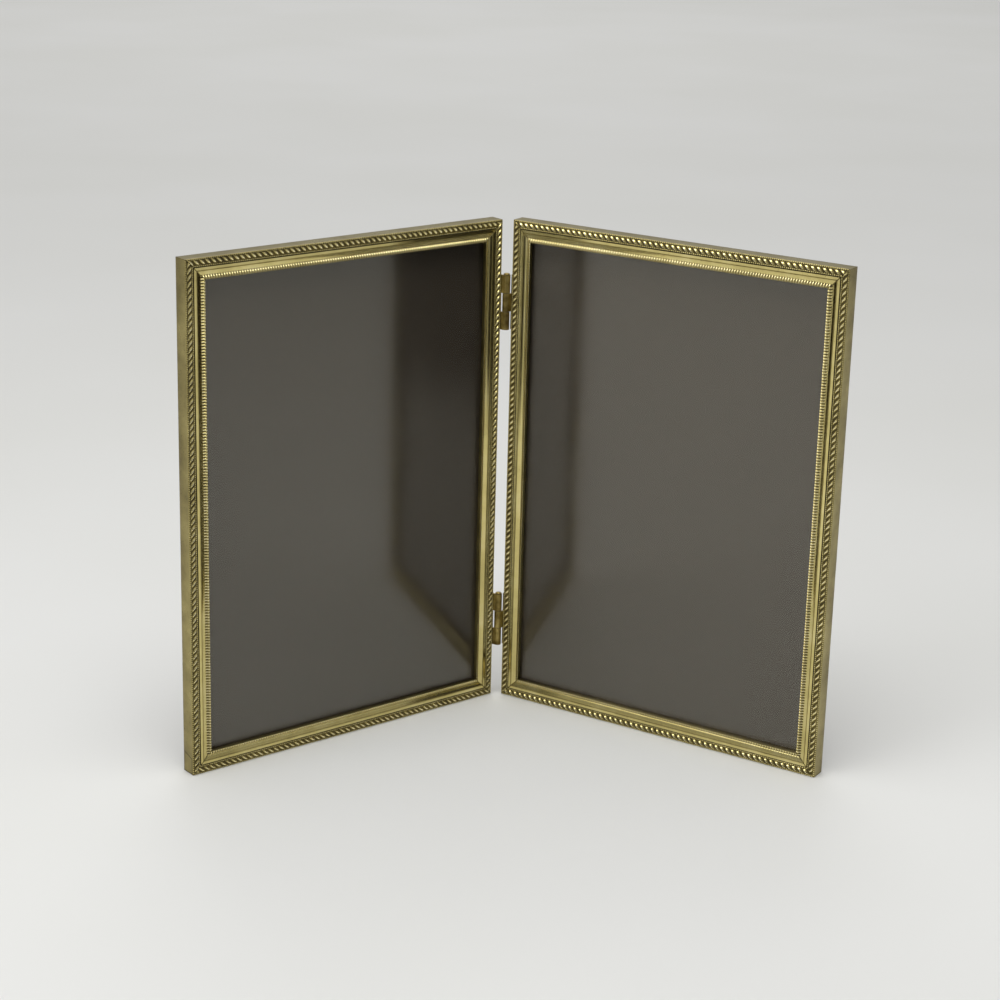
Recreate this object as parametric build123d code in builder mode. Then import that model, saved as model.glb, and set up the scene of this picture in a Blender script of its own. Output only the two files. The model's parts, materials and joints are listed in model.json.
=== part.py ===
from build123d import *

import os

# Hinged double photo frame: two glazed panels in rolled brass rims, joined by two small
# butt hinges and standing open like a book. Millimetres, +Z up, X across both panels,
# the faces towards -Y. The origin is under the middle of the object, on the table.
#
# A panel is drawn in its own frame, with X out from the hinge axis, Y back from the axis
# and Z up. It is then turned to half the opening angle, and the left panel is the mirror
# image of the right one.

# How the frame stands
opening_angle = 109.0
closed_gap = 1.0

# Layers held in a rim, from the front
glass_width = 127.0
glass_height = 177.8
glass_thickness = 2.0
glass_seam = 0.2
insert_thickness = 0.3
board_thickness = 1.4
layer_gap = 0.05
edge_clearance = 0.4

# Rim section, rolled from brass sheet: widths run inwards from the outer wall,
# depths run back from the crest of the roll
sheet = 0.5
bend_radius = 0.6
roll_width = 2.9
roll_rise = 0.55
groove_width = 0.3
groove_depth = 0.25
flat_width = 1.4
flat_depth = 0.45
cove_width = 1.25
cove_depth = 1.0
cove_sag = 0.15
bead_width = 1.2
bead_depth = 0.1
bead_sag = 0.2
lip_width = 0.25
lip_height = 1.81
hem_clearance = 0.2

# Angles soldered inside the mitres, and the flap that laps one lower corner
angle_thickness = 0.8
angle_leg = 12.0
flap_front_height = 6.0
flap_back_height = 7.5
flap_inset = 0.6

# Turn tabs on the backing board
tab_thickness = 0.4
tab_gap = 0.1
tab_hem_gap = 0.24
tab_wall_gap = 0.3
tab_reach = 7.5
tab_width = 5.0
tab_tip_width = 3.6
tab_tail = 2.4
tab_clip = 1.1
tab_inset = 48.0
tab_rivet_radius = 0.8
tab_head_radius = 1.6
tab_head_height = 0.4
rivet_clearance = 0.05

# Butt hinges
hinge_height = 20.0
hinge_inset = 30.0
leaf_thickness = 0.6
leaf_depth = 6.0
curl_rise = 0.7
pin_radius = 0.7
pin_clearance = 0.05
pin_head_radius = 1.1
pin_head_height = 0.5
knuckle_count = 3
knuckle_gap = 0.2
swing_clearance = 0.25
leaf_rivet_spacing = 11.0
leaf_rivet_radius = 0.6

# Sizes that follow from those above
border = sheet + angle_thickness + edge_clearance
panel_width = glass_width + 2 * border
panel_height = glass_height + 2 * border
knuckle_radius = pin_radius + pin_clearance + leaf_thickness
inner_wall = knuckle_radius + swing_clearance
outer_wall = inner_wall + panel_width
middle = (inner_wall + outer_wall) / 2
crest = closed_gap / 2
half_angle = opening_angle / 2

groove_end = roll_width + groove_width
cove_start = groove_end + flat_width
cove_end = cove_start + cove_width
bead_end = cove_end + bead_width
face_width = bead_end + lip_width
under_roll = roll_rise + sheet
lip_back = bead_depth + lip_height
hem_edge = border - hem_clearance

glass_front = lip_back + layer_gap
insert_front = glass_front + glass_thickness + layer_gap
board_front = insert_front + insert_thickness + layer_gap
board_back = board_front + board_thickness
tab_front = board_back + tab_gap
tab_back = tab_front + tab_thickness
hem_front = tab_back + tab_hem_gap
rim_depth = hem_front + sheet

hinge_heights = (hinge_inset, panel_height - hinge_inset)
tab_heights = (tab_inset, panel_height - tab_inset)
tab_swing = sheet + tab_wall_gap + tab_reach
tab_columns = {"outer": outer_wall - tab_swing, "inner": inner_wall + tab_swing}
leaf_face = inner_wall - leaf_thickness
leaf_front = knuckle_radius + swing_clearance
leaf_rivet_depth = (leaf_front + leaf_depth) / 2
knuckle_pitch = (hinge_height + knuckle_gap) / knuckle_count
knuckle_length = knuckle_pitch - knuckle_gap


# The sheet section in (depth, width): wall, roll, groove, flat, cove, raised sight bead and lip
# in front, then back along the inside to the hem that is turned in at the rear
def rim_section(plane):
    with BuildSketch(plane) as section:
        with BuildLine():
            Line((rim_depth - bend_radius, 0), (roll_rise, 0))
            ThreePointArc((roll_rise, 0), (0, roll_width / 2), (roll_rise, roll_width))
            Polyline(
                (roll_rise, roll_width),
                (roll_rise + groove_depth, roll_width + groove_width / 2),
                (flat_depth, groove_end),
                (flat_depth, cove_start),
            )
            SagittaArc((flat_depth, cove_start), (cove_depth, cove_end), -cove_sag)
            SagittaArc((cove_depth, cove_end), (bead_depth, bead_end), bead_sag)
            Polyline(
                (bead_depth, bead_end),
                (bead_depth, face_width),
                (lip_back, face_width),
                (lip_back, cove_end),
                (under_roll, cove_start),
                (under_roll, sheet),
                (hem_front, sheet),
                (hem_front, hem_edge),
                (rim_depth, hem_edge),
                (rim_depth, bend_radius),
            )
            RadiusArc((rim_depth, bend_radius), (rim_depth - bend_radius, 0), bend_radius)
        make_face()
    return section.sketch


# The flap of sheet that the bottom rail folds up into the wall of the stile it laps
def flap_outline(wall):
    wall_side = outer_wall - sheet if wall == "outer" else inner_wall
    front = crest + roll_rise + flap_inset
    back = crest + rim_depth - bend_radius
    with BuildSketch(Plane.YZ.offset(wall_side)) as outline:
        Polygon((front, 0), (back, 0), (back, flap_back_height), (front, flap_front_height), align=None)
    return outline.sketch


# Where each side of a rim starts and ends, going round it with the face in front
corners = {
    "lower inner": Vector(inner_wall, crest, 0),
    "lower outer": Vector(outer_wall, crest, 0),
    "upper outer": Vector(outer_wall, crest, panel_height),
    "upper inner": Vector(inner_wall, crest, panel_height),
}
rim_sides = {
    "bottom_rail": ("lower inner", "lower outer"),
    "outer_stile": ("lower outer", "upper outer"),
    "top_rail": ("upper outer", "upper inner"),
    "inner_stile": ("upper inner", "lower inner"),
}


# Rivet centres on the inner stile for hinges at these heights, as (depth, height)
def leaf_rivet_points(heights):
    reach = leaf_rivet_spacing / 2
    return [(leaf_rivet_depth, height + step) for height in heights for step in (-reach, reach)]


# One side of a rim: the section run from corner to corner and mitred at both ends
def rim_side(side, lapped_wall):
    start, end = (corners[corner] for corner in rim_sides[side])
    run = (end - start).normalized()
    inwards = run.cross(Vector(0, 1, 0))
    with BuildPart() as length:
        extrude(rim_section(Plane(origin=start, x_dir=(0, 1, 0), z_dir=run)), amount=(end - start).length)
        split(bisect_by=Plane(origin=start, x_dir=(0, 1, 0), z_dir=run - inwards), keep=Keep.TOP)
        split(bisect_by=Plane(origin=end, x_dir=(0, 1, 0), z_dir=run + inwards), keep=Keep.BOTTOM)
        if side == "bottom_rail":
            extrude(flap_outline(lapped_wall), amount=sheet)
        if side == lapped_wall + "_stile":
            extrude(flap_outline(lapped_wall), amount=sheet, mode=Mode.SUBTRACT)
        if side == "inner_stile":
            with BuildSketch(Plane.YZ.offset(inner_wall)):
                with Locations(*leaf_rivet_points(hinge_heights)):
                    Circle(leaf_rivet_radius + rivet_clearance)
            extrude(amount=sheet, mode=Mode.SUBTRACT)
    return length.part


# The two legs of an angle that stiffens a mitre from inside the rim
def corner_angle(corner):
    point = corners[corner]
    side = 1 if "inner" in corner else -1
    rise = 1 if "lower" in corner else -1
    plane = Plane(origin=(point.X, crest + glass_front, point.Z), x_dir=(1, 0, 0), z_dir=(0, -1, 0))
    near = sheet
    inside = sheet + angle_thickness
    tip = sheet + angle_leg
    outline = [(near, near), (tip, near), (tip, inside), (inside, inside), (inside, tip), (near, tip)]
    with BuildPart() as angle:
        with BuildSketch(plane):
            Polygon(*[(side * across, rise * up) for across, up in outline], align=None)
        extrude(amount=-(hem_front - layer_gap - glass_front))
    return angle.part


# A sheet as wide and tall as the glass, standing at a depth behind the crest
def layer(depth, thickness):
    centre = (middle, crest + depth, panel_height / 2)
    with BuildPart() as sheet_layer:
        with BuildSketch(Plane(origin=centre, x_dir=(1, 0, 0), z_dir=(0, 1, 0))):
            Rectangle(glass_width, glass_height)
        extrude(amount=thickness)
    return sheet_layer.part


def glass_pane():
    with BuildPart() as pane:
        add(layer(glass_front, glass_thickness))
        chamfer(pane.faces().sort_by(Axis.Y)[0].edges(), glass_seam)
        chamfer(pane.faces().sort_by(Axis.Y)[-1].edges(), glass_seam)
    return pane.part


# Workplanes at the tab pivots, facing back, with X towards the stile that each tab locks
def tab_planes(depth):
    planes = {}
    for column, across in tab_columns.items():
        direction = 1 if column == "outer" else -1
        for row, height in zip(("lower", "upper"), tab_heights):
            origin = (across, crest + depth, height)
            planes[f"{row}_{column}"] = Plane(origin=origin, x_dir=(direction, 0, 0), z_dir=(0, 1, 0))
    return planes


def backing_board():
    with BuildPart() as board:
        add(layer(board_front, board_thickness))
        with Locations(*[-plane for plane in tab_planes(board_front).values()]):
            Hole(tab_rivet_radius + rivet_clearance, depth=board_thickness)
    return board.part


# A turn tab: a tapered plate with clipped corners on its rivet, its tip tucked under the hem
def turn_tab(place):
    tail = tab_width / 2
    tip = tab_tip_width / 2
    with BuildPart() as tab:
        with BuildSketch(tab_planes(tab_front)[place]) as outline:
            Polygon((-tab_tail, -tail), (tab_reach, -tip), (tab_reach, tip), (-tab_tail, tail), align=None)
            chamfer(outline.vertices(), tab_clip)
            Circle(tab_rivet_radius + rivet_clearance, mode=Mode.SUBTRACT)
        extrude(amount=tab_thickness)
    return tab.part


# Rivets that stand in the board, headed behind the tabs
def tab_rivets():
    head_front = tab_back + tab_gap
    with BuildPart() as rivets:
        with BuildSketch(*tab_planes(board_front).values()):
            Circle(tab_rivet_radius)
        extrude(amount=head_front - board_front)
        with BuildSketch(*tab_planes(head_front).values()):
            Circle(tab_head_radius)
        extrude(amount=tab_head_height)
    return rivets.part


# A leaf against the wall of the inner stile, curled round the pin at its own knuckles
def hinge_leaf(height, knuckles):
    bottom = height - hinge_height / 2
    with BuildPart() as leaf:
        with BuildSketch(Plane.XY.offset(bottom)):
            with Locations((leaf_face, leaf_front)):
                Rectangle(leaf_thickness, leaf_depth - leaf_front, align=(Align.MIN, Align.MIN))
        extrude(amount=hinge_height)
        with BuildSketch(*[Plane.XY.offset(bottom + knuckle * knuckle_pitch) for knuckle in knuckles]):
            Circle(knuckle_radius)
            Polygon(
                (leaf_face, 0),
                (knuckle_radius, 0),
                (inner_wall, curl_rise),
                (inner_wall, leaf_front),
                (leaf_face, leaf_front),
                align=None,
            )
            Circle(pin_radius + pin_clearance, mode=Mode.SUBTRACT)
        extrude(amount=knuckle_length)
        with BuildSketch(Plane.YZ.offset(leaf_face)):
            with Locations(*leaf_rivet_points([height])):
                Circle(leaf_rivet_radius + rivet_clearance)
        extrude(amount=leaf_thickness, mode=Mode.SUBTRACT)
    return leaf.part


# A headed pin dropped through the knuckles from above
def hinge_pin(height):
    reach = hinge_height / 2 + knuckle_gap
    with BuildPart() as pin:
        with BuildSketch(Plane.XY.offset(height - reach)):
            Circle(pin_radius)
        extrude(amount=2 * reach)
        with BuildSketch(Plane.XY.offset(height + reach)):
            Circle(pin_head_radius)
        extrude(amount=pin_head_height)
    return pin.part


# Rivets closed flush on the leaf and inside the wall, for both leaves of one panel
def leaf_rivets():
    with BuildPart() as rivets:
        with BuildSketch(Plane.YZ.offset(leaf_face)):
            with Locations(*leaf_rivet_points(hinge_heights)):
                Circle(leaf_rivet_radius)
        extrude(amount=leaf_thickness + sheet)
    return rivets.part


# Every piece of one panel, in the panel's own frame
def panel_pieces(lapped_wall, knuckles):
    pieces = {side: rim_side(side, lapped_wall) for side in rim_sides}
    for corner in corners:
        pieces[corner.replace(" ", "_") + "_angle"] = corner_angle(corner)
    pieces["glass"] = glass_pane()
    pieces["insert_sheet"] = layer(insert_front, insert_thickness)
    pieces["backing_board"] = backing_board()
    for place in tab_planes(tab_front):
        pieces[place + "_turn_tab"] = turn_tab(place)
    pieces["turn_tab_rivets"] = tab_rivets()
    for row, height in zip(("lower", "upper"), hinge_heights):
        pieces[row + "_hinge_leaf"] = hinge_leaf(height, knuckles)
    pieces["hinge_rivets"] = leaf_rivets()
    return pieces


# Both panels turned to the opening angle about the hinge axis. The rims lap at their lower
# left corners, which is the outer corner of the left panel and the inner one of the right.
turn = Rot(0, 0, half_angle - 90)
assembly = {}
for name, piece in panel_pieces("inner", range(1, knuckle_count, 2)).items():
    assembly["right_" + name] = turn * piece
for name, piece in panel_pieces("outer", range(0, knuckle_count, 2)).items():
    assembly["left_" + name] = mirror(turn * piece, about=Plane.YZ)
for row, height in zip(("lower", "upper"), hinge_heights):
    assembly[row + "_hinge_pin"] = hinge_pin(height)

# The hinge axis stands behind the origin, so that the origin is the middle of the footprint
boxes = [piece.bounding_box() for piece in assembly.values()]
hinge_y = -(min(box.min.Y for box in boxes) + max(box.max.Y for box in boxes)) / 2
print(f"hinge axis at y {hinge_y:.5f}, rim depth {rim_depth:.3f}, panel {panel_width:.2f} x {panel_height:.2f}")

os.makedirs("parts", exist_ok=True)
for name, piece in assembly.items():
    placed = Pos(0, hinge_y, 0) * piece
    placed.label = name
    export_step(placed, f"parts/{name}.step")
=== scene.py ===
import json
import math

import bpy
import numpy as np
from mathutils import Matrix, Vector


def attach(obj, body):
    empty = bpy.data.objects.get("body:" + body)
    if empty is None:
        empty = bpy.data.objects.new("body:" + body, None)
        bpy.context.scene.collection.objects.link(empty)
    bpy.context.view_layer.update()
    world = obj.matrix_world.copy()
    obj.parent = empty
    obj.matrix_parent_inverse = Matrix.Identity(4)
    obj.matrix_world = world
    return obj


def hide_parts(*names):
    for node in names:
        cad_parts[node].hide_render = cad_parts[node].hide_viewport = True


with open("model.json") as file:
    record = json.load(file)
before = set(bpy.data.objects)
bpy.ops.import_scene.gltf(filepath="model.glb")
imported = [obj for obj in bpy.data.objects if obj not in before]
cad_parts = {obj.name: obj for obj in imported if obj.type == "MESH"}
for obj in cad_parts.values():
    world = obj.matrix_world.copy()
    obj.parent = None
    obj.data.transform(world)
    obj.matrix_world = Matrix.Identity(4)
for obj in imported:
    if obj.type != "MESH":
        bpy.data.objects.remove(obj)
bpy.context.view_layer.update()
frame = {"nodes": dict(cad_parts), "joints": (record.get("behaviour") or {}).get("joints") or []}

# Hinged double photo frame in aged brass, dressed over its solids. Sizes in the dictionaries are
# millimetres. A panel's own coordinates are out from the hinge axis, back from it and up.

mm = 0.001
scene = bpy.context.scene
scene.view_settings.view_transform = "Standard"

fold = next(joint for joint in frame["joints"] if joint["name"] == "fold")
hingeAxis = np.array(fold["pos_m"])
halfAngle = math.radians(-fold["range_deg"][0]) / 2  # the fold closes at its lower limit
panelSides = {"left": -1, "right": 1}
print("frame loaded:", len(frame["nodes"]), "nodes, half opened by",
      round(math.degrees(halfAngle), 1), "degrees")


# Each sRGB channel of a hex colour goes through the sRGB curve to linear light; alpha is one.
def linearColour(hexColour):
    channels = np.array([int(hexColour[i:i + 2], 16) for i in (1, 3, 5)]) / 255
    linear = np.where(channels <= 0.04045, channels / 12.92, ((channels + 0.055) / 1.055) ** 2.4)
    return (*linear.tolist(), 1.0)


# Adds a node with its settings; an input is a value or the socket that feeds it.
def addNode(tree, kind, inputs, stops=(), **settings):
    node = tree.nodes.new(kind)
    for name, value in settings.items():
        setattr(node, name, value)
    for place, colour in stops[2:]:
        node.color_ramp.elements.new(place)
    for element, (place, colour) in zip(node.color_ramp.elements if stops else (), stops):
        element.position = place
        element.color = colour
    for name, value in inputs.items():
        if isinstance(value, bpy.types.NodeSocket):
            tree.links.new(value, node.inputs[name])
        else:
            node.inputs[name].default_value = value
    return node


def newMaterial(name):
    material = bpy.data.materials.new(name)
    material.use_nodes = True
    material.node_tree.nodes.clear()
    return material, material.node_tree


# Noise over the object's own coordinates, its blots about as wide as the given size
def addNoise(tree, place, size, detail=2.0, roughness=0.5):
    inputs = {"Vector": place, "Scale": 1 / (size * mm), "Detail": detail, "Roughness": roughness}
    return addNode(tree, "ShaderNodeTexNoise", inputs).outputs["Fac"]


# A value carried from one range to another along a straight line, held at its ends
def addRange(tree, value, source, target):
    inputs = {"Value": value, "From Min": source[0], "From Max": source[1], "To Min": target[0],
              "To Max": target[1]}
    return addNode(tree, "ShaderNodeMapRange", inputs).outputs["Result"]


def addRamp(tree, value, tints):
    stops = [(place, linearColour(tint)) for place, tint in tints]
    return addNode(tree, "ShaderNodeValToRGB", {"Fac": value}, stops=stops).outputs["Color"]


def addBump(tree, height, strength, distance):
    inputs = {"Height": height, "Strength": strength, "Distance": distance * mm}
    return addNode(tree, "ShaderNodeBump", inputs).outputs["Normal"]


def addSurface(tree, inputs):
    return addNode(tree, "ShaderNodeBsdfPrincipled", inputs).outputs["BSDF"]


def addMix(tree, share, first, second):
    return addNode(tree, "ShaderNodeMixShader", {0: share, 1: first, 2: second}).outputs["Shader"]


def objectPlace(tree):
    return addNode(tree, "ShaderNodeTexCoord", {}).outputs["Object"]


def endMaterial(tree, shader):
    addNode(tree, "ShaderNodeOutputMaterial", {"Surface": shader})


# Angles evenly round a full turn
def roundAngles(count):
    return np.linspace(0, 2 * math.pi, count, endpoint=False)


# Radii and heights up a dome whose section is a quarter of an ellipse, stopping just short of its top
def quarterDome(radius, height, steps=8, share=0.95):
    bow = np.linspace(0, share * math.pi / 2, steps)
    return radius * np.cos(bow), height * np.sin(bow)


# Turns panel millimetres into scene metres: out leans forward by half the opening angle, back leans
# the same way, and the left panel is the right one with x reversed.
def placePanel(points, side):
    out, back, up = np.moveaxis(np.asarray(points, float), -1, 0)
    x = out * math.sin(halfAngle) + back * math.cos(halfAngle)
    y = back * math.sin(halfAngle) - out * math.cos(halfAngle)
    return np.stack([panelSides[side] * x * mm, y * mm, up * mm], -1) + hingeAxis


# A skin over rings of points (ring, point, xyz): quads between neighbours, each ring closed on itself,
# and the first and last ring capped or joined. Where six times the volume inside, the sum of triple
# products over all triangles, is negative, the faces are turned round.
def skin(rings, joined=False):
    points = rings.reshape(-1, 3)
    index = np.arange(len(points)).reshape(rings.shape[:2])
    near, far = (index, np.roll(index, -1, 0)) if joined else (index[:-1], index[1:])
    quads = np.stack([near, np.roll(near, -1, 1), np.roll(far, -1, 1), far], -1).reshape(-1, 4)
    caps = [] if joined else [index[0][::-1], index[-1]]
    fans = [np.stack([np.full(len(c) - 2, c[0]), c[1:-1], c[2:]], -1) for c in caps]
    triangles = points[np.concatenate([quads[:, [0, 1, 2]], quads[:, [0, 2, 3]], *fans])]
    volume = np.einsum("ij,ij->", triangles[:, 0], np.cross(triangles[:, 1], triangles[:, 2]))
    if volume < 0:
        quads = quads[:, ::-1]
        caps = [c[::-1] for c in caps]
    return points, quads, caps


# Puts skins into one mesh object at the origin, riding on a body in place of CAD nodes.
def putPiece(name, skins, body, material, standsFor, wearAndShade=None, sharpAngle=50):
    starts = np.cumsum([0] + [len(points) for points, quads, caps in skins])
    quads = np.concatenate([skinQuads + start for (_, skinQuads, _), start in zip(skins, starts)])
    caps = [cap + start for (_, _, skinCaps), start in zip(skins, starts) for cap in skinCaps]
    corners = np.concatenate([quads.ravel(), *caps])
    sizes = np.concatenate([np.full(len(quads), 4), [len(cap) for cap in caps]]).astype(int)
    mesh = bpy.data.meshes.new(name)
    mesh.vertices.add(starts[-1])
    mesh.vertices.foreach_set("co", np.concatenate([skinPoints for skinPoints, _, _ in skins]).ravel())
    mesh.loops.add(len(corners))
    mesh.loops.foreach_set("vertex_index", corners)
    mesh.polygons.add(len(sizes))
    mesh.polygons.foreach_set("loop_start", np.cumsum(sizes) - sizes)
    mesh.update(calc_edges=True)
    mesh.shade_smooth()
    mesh.set_sharp_from_angle(angle=math.radians(sharpAngle))
    if wearAndShade is not None:
        # the attribute holds rubbed wear, grime and painted shade in the hollows of the rim
        mesh.attributes.new("wearAndShade", "FLOAT", "POINT").data.foreach_set("value", wearAndShade.astype(np.float32))
    mesh.materials.append(material)
    piece = bpy.data.objects.new(name, mesh)
    scene.collection.objects.link(piece)
    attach(piece, body)
    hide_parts(*standsFor)


# Camera: the place and turn that put the panels' corners where the photograph has them
view = {
    "place": (-46.10, -796.93, 343.43),
    "yaw": -3.147,
    "pitch": 17.745,
    "roll": 1.492,
    "focalPixels": 2377.12,
    "imagePixels": 1000,
    "sensor": 36.0,
    "nearest": 10.0,
    "farthest": 50000.0,
}


# The camera looks along yaw and down by pitch; roll turns its right and up axes about that line.
def placeCamera():
    yaw, pitch, roll = (math.radians(view[turn]) for turn in ("yaw", "pitch", "roll"))
    ahead = np.array([-math.sin(yaw) * math.cos(pitch), math.cos(yaw) * math.cos(pitch), -math.sin(pitch)])
    level = np.array([math.cos(yaw), math.sin(yaw), 0])
    upright = np.cross(level, ahead)
    right = math.cos(roll) * level + math.sin(roll) * upright
    up = math.cos(roll) * upright - math.sin(roll) * level
    lens = bpy.data.cameras.new("photograph")
    lens.sensor_width = view["sensor"]
    lens.lens = view["focalPixels"] / view["imagePixels"] * view["sensor"]
    lens.clip_start = view["nearest"] * mm
    lens.clip_end = view["farthest"] * mm
    camera = bpy.data.objects.new("photograph", lens)
    scene.collection.objects.link(camera)
    turn = Matrix(np.stack([right, up, -ahead], -1).tolist()).to_4x4()
    camera.matrix_world = Matrix.Translation(Vector(view["place"]) * mm) @ turn
    scene.camera = camera


placeCamera()
print("camera placed")


# Stage: a pale table and soft light from all round, brightest overhead
stage = {
    "floorRadius": 6000.0,
    "floorDrop": 0.1,
    "floorSides": 96,
    "floorTints": ((0.35, "#DFDFDC"), (0.65, "#E2E2E0")),
    "floorRoughness": 0.6,
    "cloudSize": 260.0,
    "horizon": (0.55, 0.55, 0.54, 1.0),
    "zenith": (0.95, 0.95, 0.94, 1.0),
    "skyStrength": 0.64,
    "softboxes": {
        "overhead": {"place": (-60, -280, 1000), "aim": (-20, -120, 0), "size": 620, "watts": 5.1},
        "window": {"place": (-1300, -700, 900), "aim": (0, 0, 90), "size": 900, "watts": 4.6},
        "backdrop": {"place": (0, 2300, 1900), "aim": (0, 2200, 0), "size": 1700, "watts": 14.0},
    },
}


# White laminate with a faint cloudiness: nearly even, and matt enough to hold only soft shadows
def whiteLaminate():
    material, tree = newMaterial("white_laminate")
    clouds = addNoise(tree, objectPlace(tree), stage["cloudSize"])
    tint = addRamp(tree, clouds, stage["floorTints"])
    endMaterial(tree, addSurface(tree, {"Base Color": tint, "Roughness": stage["floorRoughness"]}))
    return material


# The floor is one flat disc, its rim a circle about the origin.
def layFloor():
    angles = roundAngles(stage["floorSides"])
    radius = stage["floorRadius"] * mm
    drop = 0 * angles - stage["floorDrop"] * mm
    edge = np.stack([radius * np.cos(angles), radius * np.sin(angles), drop], -1)
    mesh = bpy.data.meshes.new("floor")
    mesh.from_pydata(edge.tolist(), [], [list(range(len(edge)))])
    mesh.materials.append(whiteLaminate())
    floor = bpy.data.objects.new("floor", mesh)
    scene.collection.objects.link(floor)


# The sky blends from horizon to zenith with the height of the direction; each softbox faces its aim.
def hangLights():
    world = bpy.data.worlds.new("soft_studio")
    scene.world = world
    world.use_nodes = True
    tree = world.node_tree
    tree.nodes.clear()
    direction = addNode(tree, "ShaderNodeTexCoord", {}).outputs["Generated"]
    height = addNode(tree, "ShaderNodeSeparateXYZ", {"Vector": direction}).outputs["Z"]
    stops = ((0.0, stage["horizon"]), (1.0, stage["zenith"]))
    tint = addNode(tree, "ShaderNodeValToRGB", {"Fac": height}, stops=stops).outputs["Color"]
    sky = addNode(tree, "ShaderNodeBackground", {"Color": tint, "Strength": stage["skyStrength"]})
    addNode(tree, "ShaderNodeOutputWorld", {"Surface": sky.outputs["Background"]})

    for name, box in stage["softboxes"].items():
        lamp = bpy.data.lights.new(name, "AREA")
        lamp.size = box["size"] * mm
        lamp.energy = box["watts"]
        softbox = bpy.data.objects.new(name, lamp)
        softbox.location = Vector(box["place"]) * mm
        shine = Vector(box["aim"]) * mm - softbox.location
        softbox.rotation_euler = shine.to_track_quat("-Z", "Y").to_euler()
        scene.collection.objects.link(softbox)


# Dark card: stands low in front of the object, out of the camera's sight, and darkens what the brass
# mirrors. Its fades are shares of its width and height.
card = {
    "left": -250,
    "right": 330,
    "foot": 2,
    "top": 170,
    "place": -250,
    "sideFade": 0.14,
    "topFade": 0.38,
    "footFade": 0.18,
    "tints": ((0.35, "#17140F"), (0.65, "#241F18")),
    "napSize": 6.0,
    "napDetail": 4.0,
    "roughness": 0.95,
}


# Black studio felt: almost no light back, a little paler where the nap is brushed up, thinning out to
# nothing at its edges so that no hard line is mirrored
def studioFelt():
    material, tree = newMaterial("black_studio_felt")
    place = addNode(tree, "ShaderNodeTexCoord", {})
    nap = addNoise(tree, place.outputs["Object"], card["napSize"], card["napDetail"])
    felt = addSurface(tree, {"Base Color": addRamp(tree, nap, card["tints"]), "Roughness": card["roughness"]})
    clear = addNode(tree, "ShaderNodeBsdfTransparent", {}).outputs["BSDF"]
    share = addNode(tree, "ShaderNodeSeparateXYZ", {"Vector": place.outputs["Generated"]})
    none, full = "#000000", "#FFFFFF"
    sides = ((0.0, none), (card["sideFade"], full), (1 - card["sideFade"], full), (1.0, none))
    ends = ((0.0, none), (card["footFade"], full), (1 - card["topFade"], full), (1.0, none))
    between = addMix(tree, addRamp(tree, share.outputs["X"], sides), clear, felt)
    endMaterial(tree, addMix(tree, addRamp(tree, share.outputs["Z"], ends), clear, between))
    return material


def standCard():
    left, right, foot, top, place = (card[edge] * mm for edge in ("left", "right", "foot", "top", "place"))
    corners = [(left, place, foot), (right, place, foot), (right, place, top), (left, place, top)]
    mesh = bpy.data.meshes.new("dark_card")
    mesh.from_pydata(corners, [], [[0, 1, 2, 3]])
    mesh.materials.append(studioFelt())
    felt = bpy.data.objects.new("dark_card", mesh)
    scene.collection.objects.link(felt)
    felt.visible_camera = False
    felt.visible_diffuse = False
    felt.visible_shadow = False


layFloor()
hangLights()
standCard()
print("stage laid")


# Rim lengths: sheet brass rolled with a rope between two rows of pearls, a groove, a flat, a cove and a
# ribbed bead at the sight edge, and turned in to a hem at the rear. Places run in from the wall and
# depths back from the crest.
rim = {
    "innerWall": 1.6,
    "outerWall": 132.0,
    "height": 181.2,
    "crest": 0.5,
    "depth": 7.0,
    "sheet": 0.5,
    "bend": 0.6,
    "bendSteps": 5,
    "hemFront": 6.5,
    "hemEdge": 1.5,
    "wallRows": (4.6, 2.6, 0.95, 0.68),
    "wallEdge": 0.05,
    "bandFloor": 0.62,
    "bandEnd": 2.9,
    "ropeMiddle": 1.45,
    "ropeHalf": 0.82,
    "ropeTwist": 0.72,
    "strandPitch": 2.19,
    "strandPit": 0.06,
    "strandSharpness": 1.3,
    "pearlMiddles": (0.27, 2.64),
    "pearlHalf": 0.25,
    "pearlLength": 0.36,
    "pearlRise": 0.21,
    "pearlPitch": 0.762,
    "grooveStart": 2.92,
    "grooveBottom": 0.8,
    "grooveEnd": 3.2,
    "flatDepth": 0.45,
    "flatEnd": 4.3,
    "creaseHalf": 0.1,
    "coveEnd": 6.0,
    "coveDepth": 0.95,
    "coveSag": 0.04,
    "beadEnd": 7.05,
    "beadDepth": 0.26,
    "beadSag": 0.2,
    "beadPitch": 1.0,
    "beadNotch": 0.4,
    "ridgeSharpness": 1.4,
    "notchClimb": (0.0, 0.2, 0.6, 1.0),
    "notchShare": (0.2, 1.0, 0.8, 0.5),
    "lipEnd": 7.3,
    "lipDrops": (0.06, 0.3),
    "lipBack": 1.91,
    "rowStep": 0.14,
    "mitreDip": 0.1,
    "mitreWidth": 0.16,
}
rimColumns = {"pearl": 7, "rope": 15, "groove": 4, "flat": 4, "cove": 7, "bead": 10, "lip": 3}
rimGaps = {"flatStart": 0.06, "flatEnd": 0.04, "coveEnd": 0.08, "lipStart": 0.08, "lipEnd": 0.04}

# Wear and painted shade: nought is grime deepened by painted shade in the hollows, and one is rubbed bright
rimWearAndShade = {
    # painted shade: the band floor and the hollows between the rope's strands are painted dark
    "strandHollow": 0.16,
    "pearlFoot": 0.08,
    "pearlGain": 0.8,
    # painted shade: the groove is painted at the darkest tint
    "groove": 0.0,
    "field": 0.72,
    # painted shade: a dark line painted along the crease of flat and cove
    "creaseShade": 0.42,
    "inside": 0.36,
    "wallRows": (0.40, 0.42, 0.44, 0.55),
    "seamSoil": 0.85,
    "seamBehind": 0.3,
}


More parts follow.
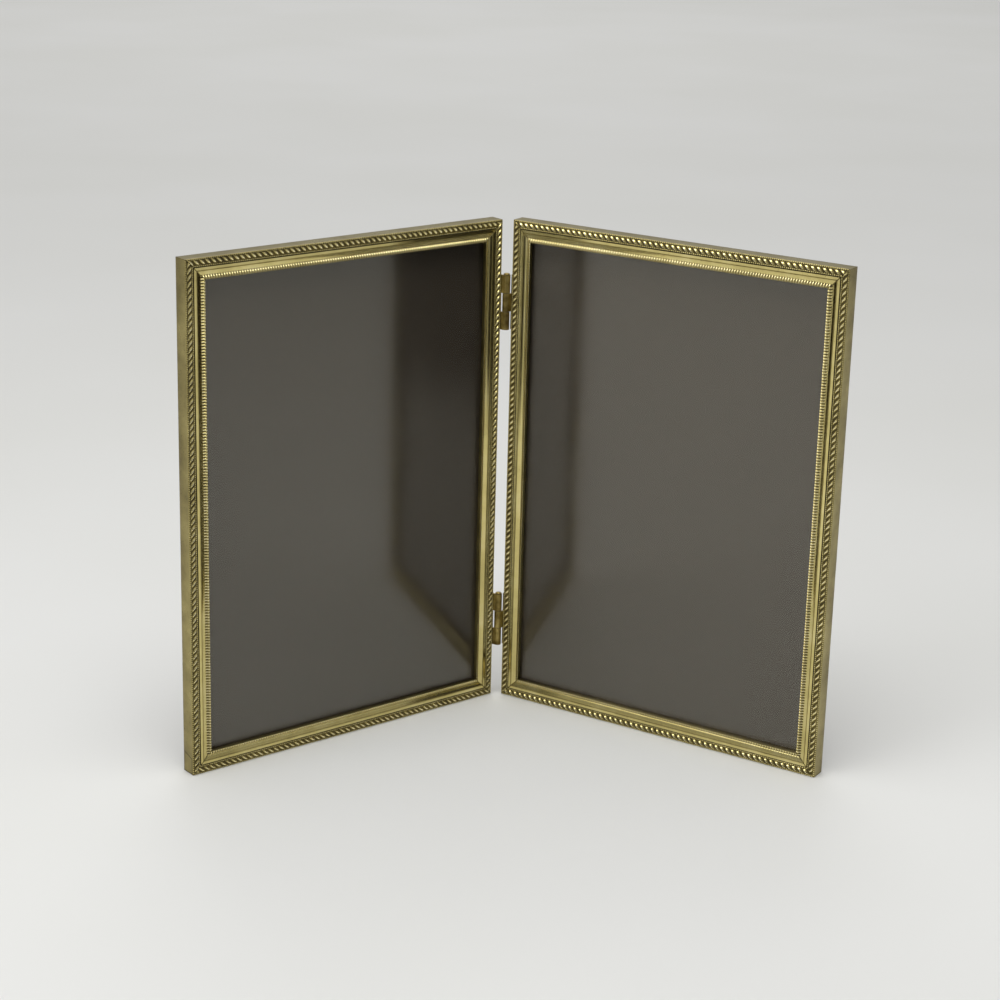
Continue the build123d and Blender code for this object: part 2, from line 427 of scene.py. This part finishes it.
# Columns across the face, close together where the section is round or carries relief
def faceColumns():
    pearlA, pearlB = rim["pearlMiddles"]
    half = rim["pearlHalf"]
    spread = np.sin(np.linspace(-math.pi / 2, math.pi / 2, rimColumns["rope"]))
    flatEnds = rim["grooveEnd"] + rimGaps["flatStart"], rim["flatEnd"] - rimGaps["flatEnd"]
    lipEnds = rim["beadEnd"] + rimGaps["lipStart"], rim["lipEnd"] - rimGaps["lipEnd"]
    return np.concatenate([
        np.linspace(rim["wallEdge"], pearlA + half, rimColumns["pearl"]),
        rim["ropeMiddle"] + rim["ropeHalf"] * spread,
        np.linspace(pearlB - half, pearlB + half, rimColumns["pearl"]),
        np.linspace(rim["grooveStart"], rim["grooveEnd"], rimColumns["groove"]),
        np.linspace(*flatEnds, rimColumns["flat"]),
        np.linspace(rim["flatEnd"], rim["coveEnd"] - rimGaps["coveEnd"], rimColumns["cove"]),
        np.linspace(rim["coveEnd"], rim["beadEnd"], rimColumns["bead"]),
        np.linspace(*lipEnds, rimColumns["lip"]),
    ])


# A cosine of the turns, raised to lie between nought and one
def raisedCosine(turns):
    return 0.5 + 0.5 * np.cos(2 * math.pi * turns)


# A parabola that is one half way along a chord and nought at both ends
def parabola(share):
    return 4 * share * (1 - share)


# Depth behind the crest, and wear with painted shade, at places across and along a length. The rope is a half
# ellipse cut by a raised cosine whose phase turns with the arcsine of the place across; pearls are domes, one
# minus the squares of both offsets under a root; the cove and the sight bead are parabolas below and above
# their chords, and the bead is notched by a raised cosine that fades towards the sight edge. The band floor,
# the rope's hollows, the groove and the bead's notches are painted dark as shade, and painted shade along the
# crease of flat and cove falls off as a bell curve.
def faceRelief(across, along, twist):
    over = np.clip((across - rim["ropeMiddle"]) / rim["ropeHalf"], -1, 1)
    arch = np.sqrt(1 - over ** 2)
    phase = (along - twist * rim["ropeTwist"] * np.arcsin(over)) / rim["strandPitch"]
    strand = raisedCosine(phase) ** rim["strandSharpness"]
    band = rim["bandFloor"] - rim["bandFloor"] * arch * (rim["strandPit"] + (1 - rim["strandPit"]) * strand)
    # painted shade: the band floor and the hollows between strands are painted dark, and the strand crests
    # are rubbed bright
    bandWearAndShade = rimWearAndShade["strandHollow"] + (1 - rimWearAndShade["strandHollow"]) * strand * np.sqrt(arch)

    step = along / rim["pearlPitch"]
    lengthways = (step - np.round(step)) * rim["pearlPitch"] / rim["pearlLength"]
    for middle in rim["pearlMiddles"]:
        sideways = (across - middle) / rim["pearlHalf"]
        dome = np.sqrt(np.clip(1 - lengthways ** 2 - sideways ** 2, 0, 1))
        band = band - rim["pearlRise"] * dome
        bandWearAndShade = np.maximum(bandWearAndShade, rimWearAndShade["pearlFoot"] + rimWearAndShade["pearlGain"] * dome)

    grooveMiddle = (rim["bandEnd"] + rim["grooveEnd"]) / 2
    grooveLine = np.interp(across, [rim["bandEnd"], grooveMiddle, rim["grooveEnd"]],
                           [rim["bandFloor"], rim["grooveBottom"], rim["flatDepth"]])
    crease = np.exp(-((across - rim["flatEnd"]) / rim["creaseHalf"]) ** 2)
    # painted shade: darker along the crease of flat and cove
    fieldWearAndShade = rimWearAndShade["field"] - rimWearAndShade["creaseShade"] * crease
    run = np.clip((across - rim["flatEnd"]) / (rim["coveEnd"] - rim["flatEnd"]), 0, 1)
    cove = rim["flatDepth"] + (rim["coveDepth"] - rim["flatDepth"]) * run + rim["coveSag"] * parabola(run)
    climb = np.clip((across - rim["coveEnd"]) / (rim["beadEnd"] - rim["coveEnd"]), 0, 1)
    ridge = raisedCosine(along / rim["beadPitch"]) ** rim["ridgeSharpness"]
    notch = np.interp(climb, rim["notchClimb"], rim["notchShare"]) * (1 - ridge)
    bead = (rim["coveDepth"] + (rim["beadDepth"] - rim["coveDepth"]) * climb
            - rim["beadSag"] * parabola(climb) + rim["beadNotch"] * notch)

    zones = [across < rim[zoneEnd] for zoneEnd in ("bandEnd", "grooveEnd", "flatEnd", "coveEnd")]
    depth = np.select(zones, [band, grooveLine, rim["flatDepth"], cove], bead)
    # painted shade: the groove and the bead's notches are painted dark, and the bead's ridges are rubbed
    # bright
    wearAndShade = np.select(zones, [bandWearAndShade, rimWearAndShade["groove"], fieldWearAndShade, fieldWearAndShade], 1 - notch)
    return depth, wearAndShade


# A whole length: the closed section, face then lip, inside, hem, bend and wall, carried from mitre to
# mitre. A point keeps its place across, and its place along runs between the two mitre planes. The bend
# is a quarter circle, and the dip and the soil at a mitre fall off as bell curves.
def rimLength(side, start, end, inwards):
    run = np.subtract(end, start)
    length = np.linalg.norm(run)
    face = faceColumns()
    onFace = slice(0, len(face))
    bendTurn = np.linspace(0, math.pi / 2, rim["bendSteps"])
    bendAcross = rim["bend"] * (1 - np.sin(bendTurn))
    bendDepth = rim["depth"] - rim["bend"] * (1 - np.cos(bendTurn))
    behindBand = rim["bandFloor"] + rim["sheet"]
    inside = np.array([
        *((rim["lipEnd"], rim["beadDepth"] + drop) for drop in rim["lipDrops"]),
        (rim["lipEnd"], rim["lipBack"]),
        (rim["coveEnd"], rim["lipBack"]),
        (rim["flatEnd"], behindBand),
        (rim["sheet"], behindBand),
        (rim["sheet"], rim["hemFront"]),
        (rim["hemEdge"], rim["hemFront"]),
        (rim["hemEdge"], rim["depth"]),
    ])
    wallDepth = np.array(rim["wallRows"])
    across = np.concatenate([face, inside[:, 0], bendAcross, 0 * wallDepth])
    depth = np.concatenate([0 * face, inside[:, 1], bendDepth, wallDepth])
    rows = np.linspace(0, 1, int(length / rim["rowStep"]))[:, None]
    along = across + rows * (length - 2 * across)
    depth = np.repeat(depth[None], len(rows), 0)
    wearAndShade = np.full(depth.shape, rimWearAndShade["inside"])
    depth[:, onFace], wearAndShade[:, onFace] = faceRelief(across[None, onFace], along[:, onFace], -panelSides[side])
    wearAndShade[:, -len(wallDepth):] = rimWearAndShade["wallRows"]
    fromMitre = np.minimum(along - across, length - across - along)
    seam = np.exp(-(fromMitre / rim["mitreWidth"]) ** 2)
    seam[:, len(face):] *= rimWearAndShade["seamBehind"]
    depth[:, onFace] += rim["mitreDip"] * seam[:, onFace]
    wearAndShade *= 1 - rimWearAndShade["seamSoil"] * seam
    backwards = np.array([0, 1, 0])
    points = (np.asarray(start) + along[..., None] * (run / length) + across[:, None] * np.asarray(inwards)
              + (rim["crest"] + depth)[..., None] * backwards)
    return skin(placePanel(points, side)), wearAndShade.ravel()


# Lap: the end of the bottom rail's sheet, folded up over the wall of the stile at the lower left corner.
# Each ring gives how far its outline is drawn in, how far it stands out of the proud height, and its wear.
lap = {
    "front": 1.15,
    "back": 6.4,
    "foot": 0.05,
    "frontHeight": 6.0,
    "backHeight": 7.5,
    "proud": 0.04,
    "rings": ((0.0, -0.1, 0.0), (0.0, 0.4, 0.0), (0.04, 1.0, 0.2), (0.12, 1.0, 0.42)),
}


# The flap as rings of its outline, each drawn in towards the middle and standing further out
def lapFlap(side):
    wall, outwards = (rim["outerWall"], 1) if side == "left" else (rim["innerWall"], -1)
    outline = np.array([(lap["front"], lap["foot"]), (lap["back"], lap["foot"]),
                        (lap["back"], lap["backHeight"]), (lap["front"], lap["frontHeight"])])
    middle = outline.mean(0)
    rings = []
    for inset, stand, _ in lap["rings"]:
        depth, up = (middle + (outline - middle) * (1 - inset)).T
        out = np.full_like(up, wall + outwards * stand * lap["proud"])
        rings.append(np.stack([out, rim["crest"] + depth, up], -1))
    wearAndShade = np.repeat([ringWear for _, _, ringWear in lap["rings"]], len(outline))
    return skin(placePanel(np.array(rings), side)), wearAndShade


rolledBrass = {
    # the darkest tints stand for grime and painted shade in the hollows, and the palest for rubbed crests
    "tints": ((0.0, "#1F190A"), (0.28, "#6F633A"), (0.42, "#968955"), (0.72, "#D2C381"), (1.0, "#F6ECBE")),
    "cloudSize": 11.0,
    "cloudDetail": 5.0,
    "cloudRoughness": 0.62,
    "cloudRange": (0.3, 0.7),
    "cloudDrift": (-0.09, 0.09),
    "speckSize": 0.55,
    "speckRange": (0.66, 0.76),
    "speckSoil": (0.0, 0.28),
    "dullRange": (0.2, 0.72),
    "roughness": (0.46, 0.1),
    "metalRange": (0.0, 0.35),
    "metallic": (0.4, 1.0),
    "grainSize": 0.3,
    "grainDetail": 3.0,
    "grainStrength": 0.12,
    "grainDepth": 0.05,
}


# Rolled and embossed brass, lacquered and long handled: rubbed gold on the crests, olive tarnish on the
# fields, brown grime and painted shade in the hollows, a satin grain and fine dark specks where the lacquer
# is pitted
def agedRolledBrass():
    look = rolledBrass
    material, tree = newMaterial("aged_rolled_brass")
    place = objectPlace(tree)
    # the attribute holds rubbed wear, grime and painted shade in the hollows
    wearAndShade = addNode(tree, "ShaderNodeAttribute", {}, attribute_name="wearAndShade").outputs["Fac"]
    clouds = addNoise(tree, place, look["cloudSize"], look["cloudDetail"], look["cloudRoughness"])
    drift = addRange(tree, clouds, look["cloudRange"], look["cloudDrift"])
    wornAndShaded = addNode(tree, "ShaderNodeMath", {0: wearAndShade, 1: drift}, operation="ADD").outputs[0]
    specks = addNoise(tree, place, look["speckSize"])
    pits = addRange(tree, specks, look["speckRange"], look["speckSoil"])
    pittedWearAndShade = addNode(tree, "ShaderNodeMath", {0: wornAndShaded, 1: pits}, operation="SUBTRACT").outputs[0]
    grain = addNoise(tree, place, look["grainSize"], look["grainDetail"])
    surface = addSurface(tree, {
        "Base Color": addRamp(tree, pittedWearAndShade, look["tints"]),
        "Metallic": addRange(tree, pittedWearAndShade, look["metalRange"], look["metallic"]),
        "Roughness": addRange(tree, pittedWearAndShade, look["dullRange"], look["roughness"]),
        "Normal": addBump(tree, grain, look["grainStrength"], look["grainDepth"]),
    })
    endMaterial(tree, surface)
    return material


rimBrass = agedRolledBrass()
rimCorners = {
    "lower inner": (rim["innerWall"], 0, 0),
    "lower outer": (rim["outerWall"], 0, 0),
    "upper outer": (rim["outerWall"], 0, rim["height"]),
    "upper inner": (rim["innerWall"], 0, rim["height"]),
}
rimRuns = {
    "bottom_rail": ("lower inner", "lower outer", (0, 0, 1)),
    "outer_stile": ("lower outer", "upper outer", (-1, 0, 0)),
    "top_rail": ("upper outer", "upper inner", (0, 0, -1)),
    "inner_stile": ("upper inner", "lower inner", (1, 0, 0)),
}
for side in panelSides:
    for run, (start, end, inwards) in rimRuns.items():
        parts = [rimLength(side, rimCorners[start], rimCorners[end], inwards)]
        if run == "bottom_rail":
            parts.append(lapFlap(side))
        skins, wearAndShadeParts = zip(*parts)
        putPiece(f"rolled_{side}_{run}", skins, f"{side}_panel", rimBrass, [f"{side}_{run}"],
                 np.concatenate(wearAndShadeParts))
print("rims rolled")


# Turn tabs: pressed plates with soft corners, each turning on a rivet through the board
tabs = {
    "front": 5.86,
    "thickness": 0.4,
    "reach": 7.5,
    "tail": 2.4,
    "tailHalf": 2.5,
    "tipHalf": 1.8,
    "clip": 1.1,
    "cornerSharpness": 26,
    "hole": 0.85,
    "edgeRound": 0.1,
    "sides": 72,
    "columns": {"outer": (123.7, 1), "inner": (9.9, -1)},
    "rows": {"lower": 48.0, "upper": 133.2},
}
tabRivets = {
    "shank": 0.8,
    "shankFront": 4.36,
    "headFront": 6.36,
    "headRadius": 1.6,
    "headHeight": 0.4,
    "brim": 0.12,
    "sides": 40,
}


# How far a convex outline reaches from the pivot at each angle: every edge gives the cosine of the turn
# from its normal over its distance, and a high power mean of those rounds the corners.
def outlineReach(corners, angles):
    points = np.asarray(corners)
    edges = np.roll(points, -1, 0) - points
    normals = np.stack([edges[:, 1], -edges[:, 0]], -1) / np.linalg.norm(edges, axis=1)[:, None]
    distances = np.einsum("ij,ij->i", points, normals)
    towards = np.stack([np.cos(angles), np.sin(angles)], -1)
    share = np.clip(towards @ normals.T / distances, 0, None)
    return (share ** tabs["cornerSharpness"]).sum(1) ** (-1 / tabs["cornerSharpness"])


# A tab as rings round its pivot: the rounded rear edge, the front edge and the rivet hole, joined up
def pressedTab(side, column, row):
    across, towards = tabs["columns"][column]
    angles = roundAngles(tabs["sides"])
    taper = (tabs["tailHalf"] - tabs["tipHalf"]) / (tabs["reach"] + tabs["tail"])
    tailSide = tabs["tailHalf"] - taper * tabs["clip"]
    half = [(tabs["reach"], tabs["tipHalf"] - tabs["clip"]), (tabs["reach"] - tabs["clip"], tabs["tipHalf"]),
            (tabs["clip"] - tabs["tail"], tailSide), (-tabs["tail"], tabs["tailHalf"] - tabs["clip"])]
    corners = half + [(x, -y) for x, y in half[::-1]]
    outer = outlineReach(corners, angles)
    hole = np.full_like(angles, tabs["hole"])
    soft, thick = tabs["edgeRound"], tabs["thickness"]
    rings = []
    for reach, depth in ((outer - soft, 0), (outer, soft), (outer, thick - soft), (outer - soft, thick),
                         (hole + soft, thick), (hole, thick - soft), (hole, soft), (hole + soft, 0)):
        out = across + towards * reach * np.cos(angles)
        back = np.full_like(angles, rim["crest"] + tabs["front"] + depth)
        rings.append(np.stack([out, back, tabs["rows"][row] + reach * np.sin(angles)], -1))
    return skin(placePanel(np.array(rings), side), joined=True)


# A rivet turned about its own line: shank, head and a shallow dome
def domedRivet(side, column, row):
    across, _ = tabs["columns"][column]
    angles = roundAngles(tabRivets["sides"])
    headFront, brim = tabRivets["headFront"], tabRivets["brim"]
    domeRadii, domeHeights = quarterDome(tabRivets["headRadius"], tabRivets["headHeight"] - brim)
    radii = [tabRivets["shank"], tabRivets["shank"], tabRivets["headRadius"], *domeRadii]
    depths = [tabRivets["shankFront"], headFront, headFront, *(headFront + brim + domeHeights)]
    rings = [np.stack([across + radius * np.cos(angles), np.full_like(angles, rim["crest"] + depth),
                       tabs["rows"][row] + radius * np.sin(angles)], -1)
             for radius, depth in zip(radii, depths)]
    return skin(placePanel(np.array(rings), side))


# Drawn or brushed metal: clouds of tarnish tint it and dull it, and fine lines run up the piece, noise
# stretched along the height.
def linedMetal(name, look):
    material, tree = newMaterial(name)
    place = objectPlace(tree)
    stretch = {"Vector": place, "Scale": (1.0, 1.0, look["lineStretch"])}
    stretched = addNode(tree, "ShaderNodeMapping", stretch).outputs["Vector"]
    lines = addNoise(tree, stretched, look["lineSize"])
    clouds = addNoise(tree, place, look["cloudSize"], look["cloudDetail"])
    surface = addSurface(tree, {
        "Base Color": addRamp(tree, clouds, look["tints"]),
        "Metallic": 1.0,
        "Roughness": addRange(tree, clouds, (0.0, 1.0), look["roughness"]),
        "Normal": addBump(tree, lines, look["lineStrength"], look["lineDepth"]),
    })
    endMaterial(tree, surface)
    return material


# Zinc-plated spring steel: pale grey with a faint yellow cast, brushed across, clouded by handling
platedSteel = {
    "tints": ((0.3, "#7D7A70"), (0.7, "#B9B7AC")),
    "cloudSize": 3.0,
    "cloudDetail": 4.0,
    "roughness": (0.5, 0.25),
    "lineSize": 0.2,
    "lineStretch": 0.06,
    "lineStrength": 0.2,
    "lineDepth": 0.03,
}
tabSteel = linedMetal("zinc_plated_steel", platedSteel)
for side in panelSides:
    rivets = []
    for column in tabs["columns"]:
        for row in tabs["rows"]:
            node = f"{side}_{row}_{column}_turn_tab"
            putPiece(f"pressed_{node}", [pressedTab(side, column, row)], node, tabSteel, [node])
            rivets.append(domedRivet(side, column, row))
    putPiece(f"domed_{side}_tab_rivets", rivets, f"{side}_panel", tabSteel,
             [f"{side}_turn_tab_rivets"])
print("turn tabs pressed")


# Hinge pins: plain shanks with a chamfered foot and a domed head
pins = {
    "middles": {"lower": 30.0, "upper": 151.2},
    "radius": 0.7,
    "reach": 10.2,
    "chamfer": 0.15,
    "headRadius": 1.1,
    "headHeight": 0.5,
    "brim": 0.12,
    "sides": 40,
}


# A pin as rings up its own line
def domedPin(middle):
    angles = roundAngles(pins["sides"])
    reach, chamfer = pins["reach"], pins["chamfer"]
    domeRadii, domeHeights = quarterDome(pins["headRadius"], pins["headHeight"] - pins["brim"])
    radii = [pins["radius"] - chamfer, pins["radius"], pins["radius"], pins["headRadius"], *domeRadii]
    heights = [-reach, chamfer - reach, reach, reach, *(reach + pins["brim"] + domeHeights)]
    rings = [np.stack([radius * np.cos(angles), radius * np.sin(angles), 0 * angles + middle + height], -1)
             for radius, height in zip(radii, heights)]
    return skin(placePanel(np.array(rings), "left"))


# Pressed hinge brass: duller than the rim, brown where it is never rubbed, with fine drawing lines
hingeBrass = {
    "tints": ((0.3, "#5B4A24"), (0.55, "#9A8850"), (0.8, "#BBA768")),
    "cloudSize": 4.0,
    "cloudDetail": 4.0,
    "roughness": (0.55, 0.3),
    "lineSize": 0.25,
    "lineStretch": 0.08,
    "lineStrength": 0.25,
    "lineDepth": 0.04,
}
fittingBrass = linedMetal("dull_fitting_brass", hingeBrass)
for row, middle in pins["middles"].items():
    putPiece(f"domed_{row}_hinge_pin", [domedPin(middle)], "left_panel", fittingBrass,
             [f"{row}_hinge_pin"])
print("hinge pins turned")


# Glass panes: they keep their solids
pane = {
    "colour": "#F3F6F3",
    "glint": "#FFF8EC",
    "ior": 1.6,
    "specular": 1.0,
    "smearSize": 28.0,
    "smearDetail": 3.0,
    "smearRange": (0.45, 0.75),
    "roughness": (0.08, 0.1),
}


# Drawn sheet glass: clear, faintly grey-green, with a few soft smears that dull its reflections
def sheetGlass():
    material, tree = newMaterial("drawn_sheet_glass")
    colour = linearColour(pane["colour"])
    smears = addNoise(tree, objectPlace(tree), pane["smearSize"], pane["smearDetail"])
    surface = addSurface(tree, {
        "Base Color": colour,
        "Roughness": addRange(tree, smears, pane["smearRange"], pane["roughness"]),
        "IOR": pane["ior"],
        "Specular IOR Level": pane["specular"],
        "Specular Tint": linearColour(pane["glint"]),
        "Transmission Weight": 1.0,
    })
    # light on its way to the paper behind goes straight through, so the paper is lit without grain
    clear = addNode(tree, "ShaderNodeBsdfTransparent", {"Color": colour}).outputs["BSDF"]
    shadowing = addNode(tree, "ShaderNodeLightPath", {}).outputs["Is Shadow Ray"]
    endMaterial(tree, addMix(tree, shadowing, surface, clear))
    return material


# Insert sheets: they keep their solids
paper = {
    "tints": ((0.4, "#392D22"), (0.75, "#3E3227")),
    "fleckSize": 2.5,
    "fleckDetail": 5.0,
    "fleckStrength": 0.05,
    "fleckDepth": 0.01,
    "roughness": 0.9,
}


# Dark brown backing paper: matt, with paler fibres a millimetre or two long
def brownPaper():
    material, tree = newMaterial("dark_brown_paper")
    flecks = addNoise(tree, objectPlace(tree), paper["fleckSize"], paper["fleckDetail"])
    surface = addSurface(tree, {
        "Base Color": addRamp(tree, flecks, paper["tints"]),
        "Roughness": paper["roughness"],
        "Normal": addBump(tree, flecks, paper["fleckStrength"], paper["fleckDepth"]),
    })
    endMaterial(tree, surface)
    return material


# Backing boards: they keep their solids
flock = {
    "tints": ((0.25, "#1B130D"), (0.8, "#3D2D22")),
    "napSize": 0.45,
    "napStrength": 0.6,
    "napDepth": 0.2,
    "patchSize": 24.0,
    "patchDetail": 3.0,
    "patchRange": (0.3, 0.7),
    "patchShade": (-0.06, 0.06),
    "roughness": 0.95,
    "sheen": 0.5,
    "sheenRoughness": 0.45,
    "sheenTint": "#8A6E58",
}


# Flocked card: a nap of short dark fibres, soft and lighter at a glancing angle, brushed in patches
def brownFlock():
    material, tree = newMaterial("brown_flocked_card")
    place = objectPlace(tree)
    nap = addNoise(tree, place, flock["napSize"])
    patches = addNoise(tree, place, flock["patchSize"], flock["patchDetail"])
    brushed = addRange(tree, patches, flock["patchRange"], flock["patchShade"])
    shade = addNode(tree, "ShaderNodeMath", {0: nap, 1: brushed}, operation="ADD").outputs[0]
    surface = addSurface(tree, {
        "Base Color": addRamp(tree, shade, flock["tints"]),
        "Roughness": flock["roughness"],
        "Sheen Weight": flock["sheen"],
        "Sheen Roughness": flock["sheenRoughness"],
        "Sheen Tint": linearColour(flock["sheenTint"]),
        "Normal": addBump(tree, nap, flock["napStrength"], flock["napDepth"]),
    })
    endMaterial(tree, surface)
    return material


# Finishes of the solids that stay, by the ending of their names
keptFinishes = {
    "glass": sheetGlass(),
    "insert_sheet": brownPaper(),
    "backing_board": brownFlock(),
    "angle": fittingBrass,
    "hinge_leaf": fittingBrass,
    "hinge_rivets": fittingBrass,
}
for name, node in frame["nodes"].items():
    finish = next((finish for ending, finish in keptFinishes.items() if name.endswith(ending)), None)
    if finish:
        node.data.materials.clear()
        node.data.materials.append(finish)
print("layers and fittings finished")
